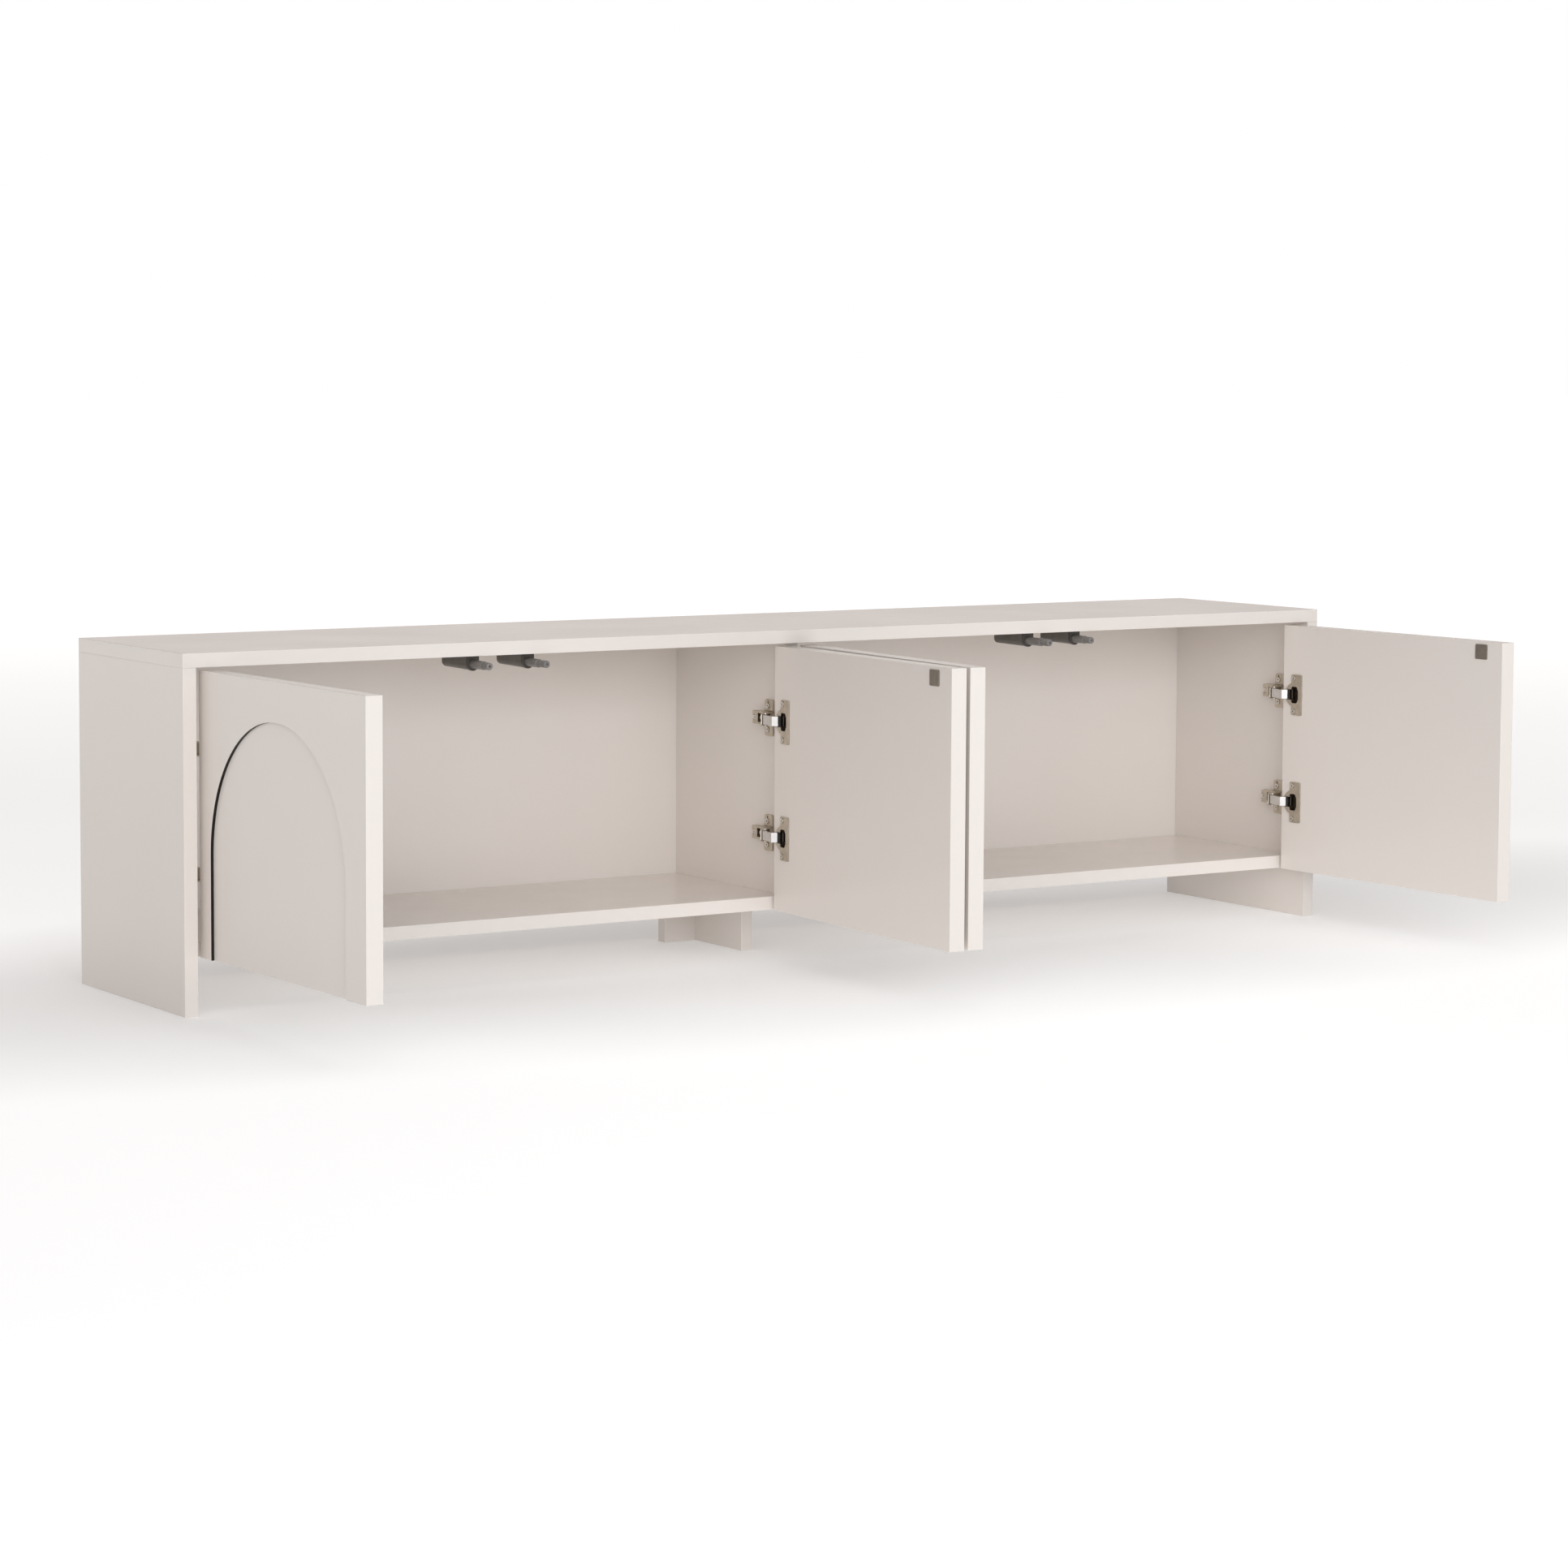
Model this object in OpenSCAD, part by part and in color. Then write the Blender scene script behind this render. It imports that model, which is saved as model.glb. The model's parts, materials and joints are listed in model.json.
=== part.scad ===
// Low TV stand: a board case on two side panels and a centre foot, with four arched doors.
// Each door hangs on two concealed hinges and closes against a push latch under the top.
// Millimetres. +Z is up, the front faces -Y, the origin is on the floor under the middle.

/* [Case] */
// length over the side panels
case_w = 1800; // [1760:10:1900]
// depth of the case without its doors
case_d = 316; // [300:2:360]
// height from the floor to the top face
case_h = 448; // [440:1:460]
// thickness of every board
board_t = 18; // [18:0.5:19]
// height of the shelf's underside above the floor
shelf_z = 71; // [66:1:76]
// how far the shelf and the centre partition stand behind the front
shelf_setback = 20; // [20:0.5:24]

/* [Centre foot] */
// distance from the case front to the foot
foot_front = 128; // [120:1:136]
// length of the foot's front-to-back board
foot_long = 118; // [110:1:124]
// width of the foot's cross board
foot_cross = 118; // [100:2:140]

/* [Doors] */
// width of one door
door_w = 436.8; // [430:0.2:436.8]
// gap between the top panel's underside and the door's top edge
door_top_gap = 4; // [3.5:0.5:6]
// thickness of the door's flat base board
door_base_t = 18; // [18:0.5:18.5]
// thickness of the raised frame around the arch
door_frame_t = 4; // [3:0.5:4]
// width of the raised frame between the arch and the door's free edge
arch_free_margin = 50; // [40:1:70]
// width of the raised frame between the arch and the door's hinge edge
arch_hinge_margin = 30; // [26:1:50]
// height of the raised frame above the arch
arch_top_margin = 48; // [40:1:70]
// thickness of the dark band that lines the arch
arch_band_t = 0.8; // [0.6:0.1:1.2]
// opening angle of the door on the left side panel, in degrees
open_1 = 89.55; // [0:0.05:98]
// opening angle of the door on the left of the partition
open_2 = 87; // [0:0.05:98]
// opening angle of the door on the right of the partition
open_3 = 94.5; // [0:0.05:98]
// opening angle of the door on the right side panel
open_4 = 91.9; // [0:0.05:98]

/* [Hinges] */
// height of the lower hinge's middle above the floor
hinge_low_z = 170; // [160:1:180]
// height of the upper hinge's middle above the floor
hinge_high_z = 326; // [316:1:336]
// how much further the two middle doors lap over their partition than the outer doors
lap_shift = 9.4; // [9.2:0.1:9.4]
// radius of the cup let into the door
cup_r = 17.4; // [17.2:0.1:17.4]
// depth of the cup below the door's inner face
cup_depth = 12.8; // [12.8:0.1:13.2]
// distance from the door's hinge edge to the cup's middle
cup_u = 22.5; // [22.5:0.1:22.7]
// radius of the pin in the arm's nose
arm_pin_r = 1.5; // [1.2:0.1:1.6]
// radius of the pin in the cup
cup_pin_r = 1.3; // [1.1:0.1:1.3]
// radial play of the link on each pin
pin_play = 0.05; // [0.03:0.01:0.08]

/* [Push latches] */
// height of the latch's axis above the floor
latch_z = 417.5; // [417:0.1:418]
// radius of the sliding tube
latch_tube_r = 5.5; // [5:0.1:5.6]
// radius of the tip that touches the door
latch_tip_r = 4.75; // [4.2:0.05:5]
// how far the tip of the left latch stands out in front of the case with its door open
latch_reach = 15; // [14:0.5:17]
// side length of the square strike plate, along the door
strike_w = 22.5; // [20:0.5:26]
// height of the strike plate
strike_h = 20.5; // [18:0.5:24]

/* [Hidden] */
$fn = 64;
cut = 1;
half_w = case_w / 2;
front_y = -case_d / 2;
top_z = case_h - board_t;
inner_x = half_w - board_t;
back_y = case_d - board_t;
half_t = board_t / 2;
opening = [open_1, open_2, open_3, open_4];
hinge_zs = [hinge_low_z, hinge_high_z];

// door geometry, measured in the swing plane of one door
closed_gap = 3;
closed_y = 16.5;
door_z0 = shelf_z;
door_z1 = top_z - door_top_gap;
arch_r = (door_w - arch_free_margin - arch_hinge_margin) / 2;
arch_u = arch_hinge_margin + arch_r;
arch_z = door_z1 - arch_top_margin - arch_r;
side_shift = [0, lap_shift, lap_shift, 0];
panel_x = [-inner_x, lap_shift - half_t, half_t - lap_shift, inner_x];
panel_dir = [1, -1, 1, -1];

// hinge pivots: arm pin in the swing plane, cup pin on the door, link turn per degree of opening
arm_pin = [31.9, 34.9];
cup_pin = [10.2, -8.2];
link_turn = 0.22;
link_vec = [closed_gap + cup_pin.x - arm_pin.x, closed_y + cup_pin.y - arm_pin.y];
link_knee_far = [-2.1, -27];
link_knee_near = [-9.5, -28.95];
link_t = 2;
link_knee_r = 1.08;
link_half_w = 6.5;
link_rear_r = 3.2;
link_front_r = 2.4;
link_plate_start = [2, 0];

// hinge arm: s out from the mounting panel's face, y back from the case front
nose_r = 3.6;
ear_in = 7.2;
ear_out = 9;
arm_pin_proud = 0.3;
arm_top_s = 13;
arm_sheet = 2;
arm_rear_y = 82;
arm_bend_y = 58;
arm_foot_s = 4;
arm_cut = 3 * arm_sheet;
shoulder_rise = 6;
shoulder_inner = [-arm_sheet, -0.8];
bend_inner = [-arm_sheet, -1.4];
heel = [-2, 2];
slot_y = 64.3;
slot_l = 10;
slot_w = 12;
rear_screw_y = 77.5;
notch_r = 3.7;
notch_w = 4.8;
rear_head = [3.3, 2.4];
rear_head_s = 10.2;
slot_head = [2.6, 1.8];
rib_gap = 0.5;

// mounting plate with its rib
plate_t = 3;
plate_y0 = 47.5;
plate_y1 = 66.5;
plate_half_h = 24.5;
rib_s = 9;
rib_y0 = 44;
rib_y1 = 81;
plate_screw_y = 59;
plate_screw_z = 16;
plate_hole_z = 21.2;
plate_hole_r = 1.4;
plate_corner_r = 2.5;

// cup with its flange, u along the door and z from the hinge's middle
flange_u0 = 17.5;
flange_u1 = 39.5;
flange_half_h = 29.5;
flange_t = 1.2;
cup_wall = 0.8;
cup_slot_half = 7.6;
cup_slot_u = 10;
cup_slot_depth = 6;
cup_mouth_u0 = 17.5;
cup_mouth_u1 = 30.5;
cup_mouth_half = 12;
cup_mouth_r = 3.5;
cup_fold_u = 32;
cup_screw_u = 23;
cup_screw_z = 24;
lug_u = 7;
lug_l = 6.5;
lug_w = 4;
lug_top = 6.2;
cup_pin_half = ear_in + 2.6;

// screws: countersunk ones along the case, machine screws on the rib
plate_screw_l = 11;
cup_screw_l = 12;
latch_screw_l = 15;
screw_r = 1.8;
screw_head_r = 3.5;
screw_head_h = 1.3;
screw_tip_r = 0.4;
screw_tip_l = 1.4;
screw_tip_gap = 0.2;
drive_w = 0.8;
drive_l = 4;
drive_floor = 0.3;
rib_drive_l = 3.4;
rib_drive_h = 0.9;
bore_play = 0.05;

// push latch, lengths along the case depth from its front
latch_u = 397.75;
latch_p = closed_gap + latch_u;
strike_t = 1.2;
strike_z = latch_z - 5.7;
strike_corner_r = 2;
housing_y0 = 30.5;
housing_y1 = 100;
housing_r0 = 8;
housing_r1 = 7;
collar_r = 8.6;
collar_l = 4;
tube_play = 0.3;
tube_rear_y = 50;
tube_front_ys = [-1, 1, -3, 5];
tip_reach = [for (more = [0, 5, 6, -5]) latch_reach + more];
tube_travel = 40;
tube_rear_gap = 3;
stud_r = 2.45;
stud_l = 13;
stud_bore_r = 2.5;
stud_bore_l = 14;
tip_head_l = 12;
tip_ease = [0.6, 0.8];
tip_neck = 0.9;
tip_slot = [4, 1.2, 2.4];
tab_t = 3.5;
tab_y1 = 122;
latch_screw_ys = [107, 116];

// dowels, sunk 12 mm into a face and 18 mm into a board's end
dowel_r = 4;
dowel_l = 30;
dowel_face = 12;
dowel_end_gap = 0.3;
wall_y = [50, 158, 266];
inner_y = [80, 240];
back_mid_y = back_y + half_t;
shelf_mid_z = shelf_z + half_t;
top_dowels = concat(
    [for (x = [-half_w + half_t, half_w - half_t]) for (y = wall_y) [x, y]],
    [for (y = inner_y) [0, y]],
    [for (x = [-700, -300, 300, 700]) [x, back_mid_y]]);
partition_dowels = [for (y = inner_y) [0, y]];
side_dowels = concat([for (y = [60, 160, 260]) [y, shelf_mid_z]],
    [for (z = [150, 350]) [back_mid_y, z]]);
rear_dowels = concat([for (x = [-750, -450, -150, 150, 450, 750]) [x, shelf_mid_z]],
    [for (z = [180, 340]) [0, z]]);
foot_back_y = foot_front + foot_long;
foot_dowels = concat([for (y = [20, foot_long - 20]) [0, foot_front + y]],
    [for (x = [-40, 40]) [x, foot_back_y + half_t]]);
foot_joint_zs = [18, 36];

lacquer = [0.86, 0.82, 0.79];
nickel = [0.62, 0.58, 0.52];
chrome = [0.8, 0.8, 0.82];
dark_plastic = [0.3, 0.29, 0.28];

// ---------- helpers ----------

// box between two corners, with y measured from the case front
module board(x0, x1, y0, y1, z0, z1) {
    translate([x0, front_y + y0, z0])
        cube([x1 - x0, y1 - y0, z1 - z0]);
}

// rectangle with rounded corners, centred on a point
module rounded_rect(w, h, r) {
    square([w, h - 2 * r], center = true);
    square([w - 2 * r, h], center = true);
    for (i = [-1, 1])
        for (j = [-1, 1])
            translate([i * (w / 2 - r), j * (h / 2 - r)])
                circle(r);
}

// flat bar between two points in a plane
module bar(p, q, t) {
    translate(p)
        rotate(atan2(q.y - p.y, q.x - p.x))
            translate([0, -t / 2])
                square([norm(q - p), t]);
}

// turns a flat outline in the depth-height plane into a slab along the first axis
module slab_x(h) {
    rotate([90, 0, 90])
        linear_extrude(h)
            children();
}

// turns a flat outline in the width-height plane into a slab along -y
module slab_y(h) {
    rotate([90, 0, 0])
        linear_extrude(h)
            children();
}

module dowels_z(spots, z0, r, gap) {
    for (p = spots)
        translate([p.x, front_y + p.y, z0 - gap])
            cylinder(r = r, h = dowel_l + 2 * gap);
}

module dowels_x(spots, x0, r, gap) {
    for (p = spots)
        translate([x0 - gap, front_y + p.x, p.y])
            rotate([0, 90, 0])
                cylinder(r = r, h = dowel_l + 2 * gap);
}

module dowels_y(spots, y0, r, gap) {
    for (p = spots)
        translate([p.x, front_y + y0 - gap, p.y])
            rotate([-90, 0, 0])
                cylinder(r = r, h = dowel_l + 2 * gap);
}

module top_dowel_set(r, gap) {
    dowels_z(top_dowels, top_z + dowel_face - dowel_l, r, gap);
}

module side_dowel_set(r, gap) {
    dowels_x(side_dowels, -inner_x - dowel_face, r, gap);
    dowels_x(side_dowels, inner_x + dowel_face - dowel_l, r, gap);
}

module rear_dowel_set(r, gap) {
    dowels_y(rear_dowels, back_y + dowel_face - dowel_l, r, gap);
}

module partition_dowel_set(r, gap) {
    dowels_z(partition_dowels, shelf_z + board_t - dowel_face, r, gap);
}

module foot_dowel_set(r, gap) {
    dowels_z(foot_dowels, shelf_z + dowel_face - dowel_l, r, gap);
}

module foot_joint_set(r, gap) {
    dowels_y([for (z = foot_joint_zs) [0, z]], foot_back_y + dowel_face - dowel_l, r, gap);
}

// screw lying along -y from the seat of its head
module screw(length) {
    difference() {
        union() {
            rotate([-90, 0, 0])
                cylinder(r = screw_head_r, h = screw_head_h);
            rotate([90, 0, 0])
                cylinder(r = screw_r, h = length);
            translate([0, -length, 0])
                rotate([90, 0, 0])
                    cylinder(r1 = screw_r, r2 = screw_tip_r, h = screw_tip_l);
        }
        for (a = [0, 90])
            rotate([0, a, 0])
                translate([-drive_l / 2, drive_floor, -drive_w / 2])
                    cube([drive_l, screw_head_h, drive_w]);
    }
}

module screw_bore(length) {
    rotate([90, 0, 0])
        cylinder(r = screw_r + bore_play, h = length + screw_tip_l + screw_tip_gap);
}

// frame of one door's swing plane: first axis from its mounting panel into the compartment
module at_door(n) {
    translate([panel_x[n], front_y, 0])
        if (panel_dir[n] < 0)
            mirror([1, 0, 0])
                children();
        else
            children();
}

// both hinge heights of one door, in its swing plane
module at_hinges(n) {
    at_door(n)
        for (z = hinge_zs)
            translate([0, 0, z])
                children();
}

// both hinge heights of one door, with the first axis starting on the mounting panel's face
module at_plates(n) {
    at_hinges(n)
        translate([side_shift[n], 0, 0])
            children();
}

function turned(v, a) = [v.x * cos(a) - v.y * sin(a), v.x * sin(a) + v.y * cos(a)];
function cup_pin_at(n) = arm_pin + turned(link_vec, link_turn * opening[n]);

// frame of the door itself: u along the door from its hinge edge, v out of its inner face
module on_door(n) {
    at_door(n)
        translate(cup_pin_at(n))
            rotate(-opening[n])
                translate(-cup_pin)
                    children();
}

module on_door_hinges(n) {
    on_door(n)
        for (z = hinge_zs)
            translate([0, 0, z])
                children();
}

// screws of one mounting plate, their heads facing the compartment
module plate_screw_spots() {
    for (z = [-plate_screw_z, plate_screw_z])
        translate([plate_t, plate_screw_y, z])
            rotate([0, 0, -90])
                children();
}

module cup_screw_spots() {
    for (z = [-cup_screw_z, cup_screw_z])
        translate([cup_screw_u, flange_t, z])
            children();
}

module plate_screw_bores(first, last) {
    for (n = [first:last])
        at_plates(n)
            plate_screw_spots()
                screw_bore(plate_screw_l);
}

module latch_screw_spots() {
    for (y = latch_screw_ys)
        translate([latch_p, y, top_z - tab_t])
            rotate([-90, 0, 0])
                children();
}

// ---------- case ----------

module top_panel() {
    color(lacquer)
        difference() {
            board(-half_w, half_w, 0, case_d, top_z, case_h);
            top_dowel_set(dowel_r + bore_play, dowel_end_gap);
            for (n = [0:3])
                at_door(n)
                    latch_screw_spots()
                        screw_bore(latch_screw_l);
        }
}

module left_side_panel() {
    color(lacquer)
        difference() {
            board(-half_w, -inner_x, 0, case_d, 0, top_z);
            top_dowel_set(dowel_r + bore_play, dowel_end_gap);
            side_dowel_set(dowel_r + bore_play, dowel_end_gap);
            plate_screw_bores(0, 0);
        }
}

module right_side_panel() {
    color(lacquer)
        difference() {
            board(inner_x, half_w, 0, case_d, 0, top_z);
            top_dowel_set(dowel_r + bore_play, dowel_end_gap);
            side_dowel_set(dowel_r + bore_play, dowel_end_gap);
            plate_screw_bores(3, 3);
        }
}

module bottom_panel() {
    color(lacquer)
        difference() {
            board(-inner_x, inner_x, shelf_setback, back_y, shelf_z, shelf_z + board_t);
            side_dowel_set(dowel_r + bore_play, dowel_end_gap);
            rear_dowel_set(dowel_r + bore_play, dowel_end_gap);
            partition_dowel_set(dowel_r + bore_play, dowel_end_gap);
            foot_dowel_set(dowel_r + bore_play, dowel_end_gap);
        }
}

module back_panel() {
    color(lacquer)
        difference() {
            board(-inner_x, inner_x, back_y, case_d, shelf_z, top_z);
            top_dowel_set(dowel_r + bore_play, dowel_end_gap);
            side_dowel_set(dowel_r + bore_play, dowel_end_gap);
            rear_dowel_set(dowel_r + bore_play, dowel_end_gap);
        }
}

module centre_partition() {
    color(lacquer)
        difference() {
            board(-half_t, half_t, shelf_setback, back_y, shelf_z + board_t, top_z);
            top_dowel_set(dowel_r + bore_play, dowel_end_gap);
            rear_dowel_set(dowel_r + bore_play, dowel_end_gap);
            partition_dowel_set(dowel_r + bore_play, dowel_end_gap);
            plate_screw_bores(1, 2);
        }
}

module centre_foot_long_board() {
    color(lacquer)
        difference() {
            board(-half_t, half_t, foot_front, foot_back_y, 0, shelf_z);
            foot_dowel_set(dowel_r + bore_play, dowel_end_gap);
            foot_joint_set(dowel_r + bore_play, dowel_end_gap);
        }
}

module centre_foot_cross_board() {
    color(lacquer)
        difference() {
            board(-foot_cross / 2, foot_cross / 2, foot_back_y, foot_back_y + board_t, 0, shelf_z);
            foot_dowel_set(dowel_r + bore_play, dowel_end_gap);
            foot_joint_set(dowel_r + bore_play, dowel_end_gap);
        }
}

module board_dowels() {
    color([0.75, 0.6, 0.4]) {
        top_dowel_set(dowel_r, 0);
        side_dowel_set(dowel_r, 0);
        rear_dowel_set(dowel_r, 0);
        partition_dowel_set(dowel_r, 0);
        foot_dowel_set(dowel_r, 0);
        foot_joint_set(dowel_r, 0);
    }
}

// ---------- hinge parts on the case ----------

module mounting_plate() {
    difference() {
        union() {
            translate([0, (plate_y0 + plate_y1) / 2, 0])
                slab_x(plate_t)
                    rounded_rect(plate_y1 - plate_y0, 2 * plate_half_h, plate_corner_r);
            translate([0, rib_y0, -ear_in])
                cube([rib_s, rib_y1 - rib_y0, 2 * ear_in]);
        }
        plate_screw_spots()
            translate([0, cut, 0])
                screw_bore(plate_t + 2 * cut);
        translate([-cut, plate_screw_y, plate_hole_z])
            rotate([0, 90, 0])
                cylinder(r = plate_hole_r, h = plate_t + 2 * cut);
        for (y = [slot_y, rear_screw_y])
            translate([rib_s / 2, y, 0])
                rotate([0, 90, 0])
                    cylinder(r = screw_r + bore_play, h = rib_s);
    }
}

module hinge_mounting_plates() {
    color(nickel)
        for (n = [0:3])
            at_plates(n)
                mounting_plate();
}

module hinge_plate_screws() {
    color(nickel)
        for (n = [0:3])
            at_plates(n)
                plate_screw_spots()
                    screw(plate_screw_l);
}

// one arm, s measured from the mounting panel's face; nose_s is where its pin sits
module hinge_arm(nose_s) {
    nose = [nose_s, arm_pin.y];
    shoulder = nose + [nose_r, shoulder_rise];
    bend = [arm_top_s, arm_bend_y];
    difference() {
        union() {
            for (z = [-ear_out, ear_in])
                translate([0, 0, z])
                    linear_extrude(ear_out - ear_in)
                        difference() {
                            union() {
                                polygon([[arm_foot_s, arm_rear_y], [arm_top_s, arm_rear_y],
                                    bend, shoulder, nose + [nose_r, 0], nose - [nose_r, 0],
                                    nose - [nose_r, 0] + heel, [arm_foot_s, rib_y0 + heel.y]]);
                                translate(nose)
                                    circle(nose_r);
                            }
                            translate(nose)
                                circle(arm_pin_r);
                        }
            translate([0, 0, -ear_out])
                linear_extrude(2 * ear_out)
                    polygon([[arm_top_s - arm_sheet, arm_rear_y], [arm_top_s, arm_rear_y],
                        bend, shoulder, shoulder + shoulder_inner, bend + bend_inner]);
        }
        translate([rib_s + rib_gap, slot_y - slot_l / 2, -slot_w / 2])
            cube([arm_cut, slot_l, slot_w]);
        translate([rib_s + rib_gap, rear_screw_y, 0])
            rotate([0, 90, 0])
                cylinder(r = notch_r, h = arm_cut);
        translate([rib_s + rib_gap, rear_screw_y, -notch_w / 2])
            cube([arm_cut, arm_rear_y - rear_screw_y + cut, notch_w]);
    }
}

module inset_hinge_arms() {
    color(nickel)
        for (n = [0, 3])
            at_plates(n)
                hinge_arm(arm_pin.x);
}

module half_lap_hinge_arms() {
    color(nickel)
        for (n = [1, 2])
            at_plates(n)
                hinge_arm(arm_pin.x - lap_shift);
}

module hinge_arm_pins() {
    color(nickel)
        for (n = [0:3])
            at_hinges(n)
                translate([arm_pin.x, arm_pin.y, -ear_out - arm_pin_proud])
                    cylinder(r = arm_pin_r, h = 2 * (ear_out + arm_pin_proud));
}

// machine screw standing in the rib; head is its radius and height, and head_s where it starts
module rib_screw(y, head, head_s) {
    translate([0, y, 0])
        rotate([0, 90, 0])
            difference() {
                union() {
                    translate([0, 0, rib_s / 2 + rib_gap])
                        cylinder(r = screw_r, h = head_s - rib_s / 2);
                    translate([0, 0, head_s])
                        cylinder(r = head[0], h = head[1]);
                }
                for (a = [0, 90])
                    rotate([0, 0, a])
                        translate([-rib_drive_l / 2, -drive_w / 2, head_s + head[1] - rib_drive_h])
                            cube([rib_drive_l, drive_w, rib_drive_h + cut]);
            }
}

module hinge_rear_screws() {
    color(nickel)
        for (n = [0:3])
            at_plates(n)
                rib_screw(rear_screw_y, rear_head, rear_head_s);
}

module hinge_slot_screws() {
    color(nickel)
        for (n = [0:3])
            at_plates(n)
                rib_screw(slot_y, slot_head, rib_s);
}

// ---------- links ----------

module link() {
    translate([0, 0, -link_half_w])
        linear_extrude(2 * link_half_w)
            difference() {
                union() {
                    circle(link_rear_r);
                    translate(link_vec)
                        circle(link_front_r);
                    bar(link_plate_start, link_knee_far, link_t);
                    bar(link_knee_far, link_knee_near, link_t);
                    bar(link_knee_near, link_vec, link_t);
                    for (p = [link_knee_far, link_knee_near])
                        translate(p)
                            circle(link_knee_r);
                }
                circle(arm_pin_r + pin_play);
                translate(link_vec)
                    circle(cup_pin_r + pin_play);
            }
}

module hinge_links(n) {
    color(chrome)
        at_hinges(n)
            translate(arm_pin)
                rotate(link_turn * opening[n])
                    link();
}

// ---------- doors ----------

module arch_outline(r) {
    translate([arch_u, arch_z])
        circle(r, $fn = 180);
    translate([arch_u - r, door_z0 - cut])
        square([2 * r, arch_z - door_z0 + cut]);
}

module door_panel(n) {
    color(lacquer)
        on_door(n)
            difference() {
                translate([0, -door_base_t, door_z0])
                    cube([door_w, door_base_t, door_z1 - door_z0]);
                for (z = hinge_zs)
                    translate([0, 0, z]) {
                        translate([cup_u, cut, 0])
                            rotate([90, 0, 0])
                                cylinder(r = cup_r + 2 * bore_play, h = cup_depth + bore_play + cut);
                        cup_screw_spots()
                            screw_bore(cup_screw_l);
                    }
            }
}

module door_arch_frame(n) {
    color(lacquer)
        on_door(n)
            translate([0, -door_base_t, 0])
                slab_y(door_frame_t)
                    difference() {
                        translate([0, door_z0])
                            square([door_w, door_z1 - door_z0]);
                        arch_outline(arch_r);
                    }
}

module door_arch_band(n) {
    color([0.08, 0.06, 0.05])
        on_door(n)
            translate([0, -door_base_t, 0])
                slab_y(door_frame_t)
                    difference() {
                        intersection() {
                            arch_outline(arch_r);
                            translate([0, door_z0])
                                square([door_w, door_z1 - door_z0]);
                        }
                        arch_outline(arch_r - arch_band_t);
                    }
}

module hinge_cup() {
    difference() {
        union() {
            translate([cup_u, 0, 0])
                slab_y(cup_depth)
                    circle(cup_r);
            translate([0, flange_t, 0])
                slab_y(flange_t) {
                    translate([(flange_u0 + flange_u1) / 2, 0])
                        rounded_rect(flange_u1 - flange_u0, 2 * flange_half_h, plate_corner_r);
                    translate([cup_u, 0])
                        circle(cup_r);
                }
        }
        difference() {
            translate([cup_u, 0, 0])
                slab_y(cup_depth - cup_wall)
                    circle(cup_r - cup_wall);
            for (z = [-ear_in - lug_w, ear_in])
                translate([lug_u, -cup_depth, z])
                    cube([lug_l, cup_depth - lug_top, lug_w]);
        }
        translate([0, -cup_slot_depth, -cup_slot_half])
            cube([cup_slot_u, cup_slot_depth + flange_t + cut, 2 * cup_slot_half]);
        translate([0, -cut, -cup_slot_half])
            cube([cup_fold_u, flange_t + 2 * cut, 2 * cup_slot_half]);
        translate([0, flange_t + cut, 0])
            slab_y(flange_t + 2 * cut)
                translate([(cup_mouth_u0 + cup_mouth_u1) / 2, 0])
                    rounded_rect(cup_mouth_u1 - cup_mouth_u0, 2 * cup_mouth_half, cup_mouth_r);
        translate([cup_pin.x, cup_pin.y, -cup_pin_half])
            cylinder(r = cup_pin_r, h = 2 * cup_pin_half);
        cup_screw_spots()
            translate([0, cut, 0])
                screw_bore(flange_t + 2 * cut);
    }
}

module door_hinge_cups(n) {
    color(nickel)
        on_door_hinges(n)
            hinge_cup();
}

module door_cup_pins(n) {
    color(nickel)
        on_door_hinges(n)
            translate([cup_pin.x, cup_pin.y, -cup_pin_half])
                cylinder(r = cup_pin_r, h = 2 * cup_pin_half);
}

module door_cup_screws(n) {
    color(nickel)
        on_door_hinges(n)
            cup_screw_spots()
                screw(cup_screw_l);
}

module door_strike_plate(n) {
    color([0.5, 0.48, 0.45])
        on_door(n)
            translate([latch_u, strike_t, strike_z])
                slab_y(strike_t)
                    rounded_rect(strike_w, strike_h, strike_corner_r);
}

// ---------- push latches ----------

module latch_housing() {
    mouth_y = housing_y0 - collar_l / 2;
    difference() {
        union() {
            translate([0, housing_y0, latch_z])
                rotate([-90, 0, 0])
                    cylinder(r1 = housing_r0, r2 = housing_r1, h = housing_y1 - housing_y0);
            translate([0, 0, latch_z])
                linear_extrude(top_z - latch_z)
                    polygon([[-housing_r0, housing_y0], [housing_r0, housing_y0],
                        [housing_r1, housing_y1], [-housing_r1, housing_y1]]);
            translate([0, mouth_y, latch_z])
                rotate([-90, 0, 0])
                    cylinder(r = collar_r, h = collar_l);
            translate([-collar_r, mouth_y, latch_z])
                cube([2 * collar_r, collar_l, top_z - latch_z]);
            translate([-housing_r1, housing_y1 - cut, top_z - tab_t])
                cube([2 * housing_r1, tab_y1 - housing_y1 + cut, tab_t]);
        }
        translate([0, mouth_y - cut, latch_z])
            rotate([-90, 0, 0])
                cylinder(r = latch_tube_r + tube_play,
                    h = tube_rear_y + tube_travel + tube_rear_gap - mouth_y + cut);
        translate([-latch_p, 0, 0])
            latch_screw_spots()
                translate([0, cut, 0])
                    screw_bore(tab_t + 2 * cut);
    }
}

module latch_housings() {
    color(dark_plastic)
        for (n = [0:3])
            at_door(n)
                translate([latch_p, 0, 0])
                    latch_housing();
}

module latch_screws() {
    color(nickel)
        for (n = [0:3])
            at_door(n)
                latch_screw_spots()
                    screw(latch_screw_l);
}

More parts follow.
